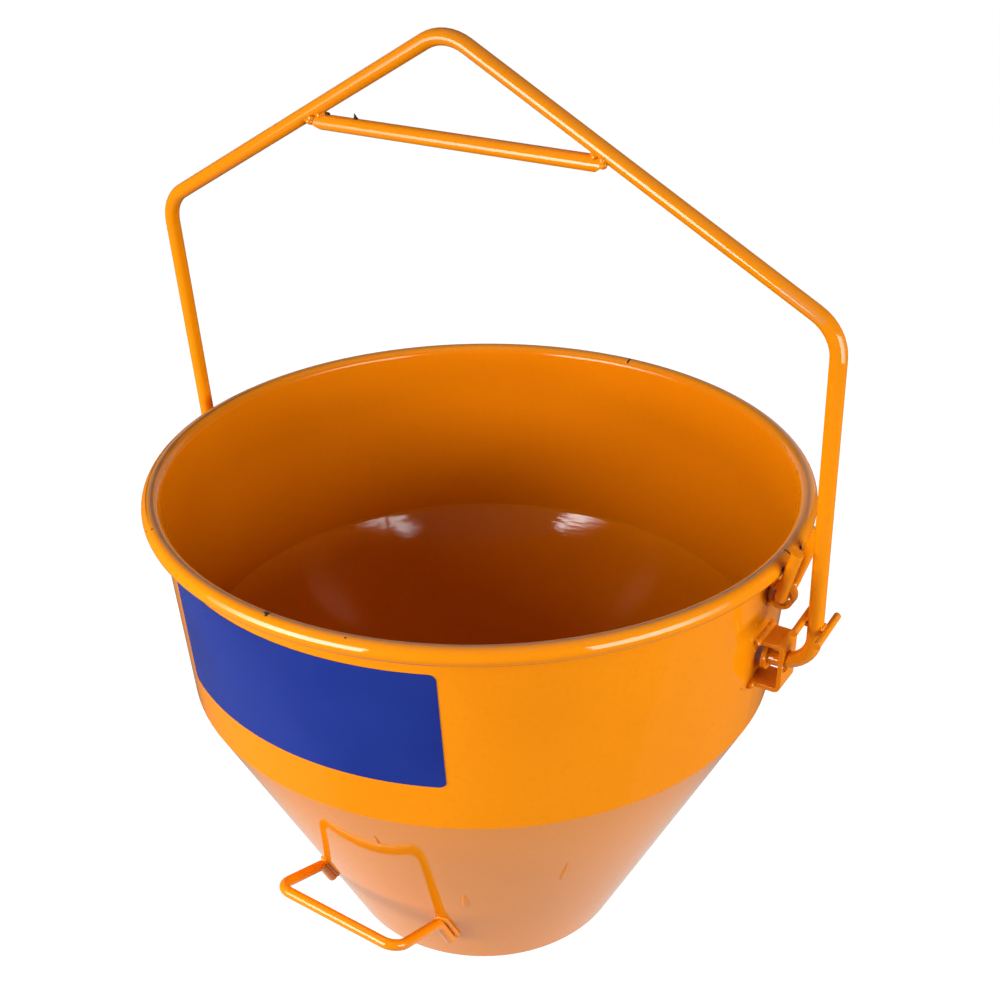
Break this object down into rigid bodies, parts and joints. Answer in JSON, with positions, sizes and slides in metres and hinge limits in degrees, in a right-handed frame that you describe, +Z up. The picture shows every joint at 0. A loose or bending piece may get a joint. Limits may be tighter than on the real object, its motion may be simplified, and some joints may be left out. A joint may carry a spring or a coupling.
{
  "type": "hoist bucket",
  "caption": "Round painted steel hoist bucket with a conical lower half, a swinging peaked bail held upright by a drop-down lock fork, and a rod handle low on the front for tipping it out.",
  "frame": {"origin": "centre of the base's underside, on the floor", "axes": "+Z up, +X along the bail's pivot axis towards the lock fork, -Y to the front with the tipping handle and the patch"},
  "size_m": [0.5376, 0.48, 0.6783],
  "materials": {
    "orange_paint": "glossy orange paint on steel sheet, bar and rod",
    "blue_vinyl": "plain blue vinyl film",
    "plain_steel": "plain steel wire, closed inside the rolled rim"
  },
  "bodies": {
    "bucket": {"bucket_band": "orange_paint", "rim_wire": "plain_steel", "hopper_cone": "orange_paint", "base_disc": "orange_paint", "bracket_right": "orange_paint", "bracket_left": "orange_paint", "hinge_sleeve": "orange_paint", "tipping_handle": "orange_paint", "decal_patch": "blue_vinyl"},
    "bail": {"bail_bar": "orange_paint", "bail_spreader": "orange_paint", "seat_rod_outer": "orange_paint", "seat_rod_inner": "orange_paint", "retaining_discs": "orange_paint"},
    "fork": {"lock_fork": "orange_paint"}
  },
  "joints": [
    {"name": "bail_swing", "type": "hinge", "parent": "bucket", "child": "bail", "pos_m": [0, 0, 0.2868], "axis": [1, 0, 0], "range_deg": [-124.68, 115.32]},
    {"name": "fork_drop", "type": "hinge", "parent": "bucket", "child": "fork", "pos_m": [0.23754, 0, 0.33863], "axis": [0, 1, 0], "range_deg": [0, 90]}
  ]
}
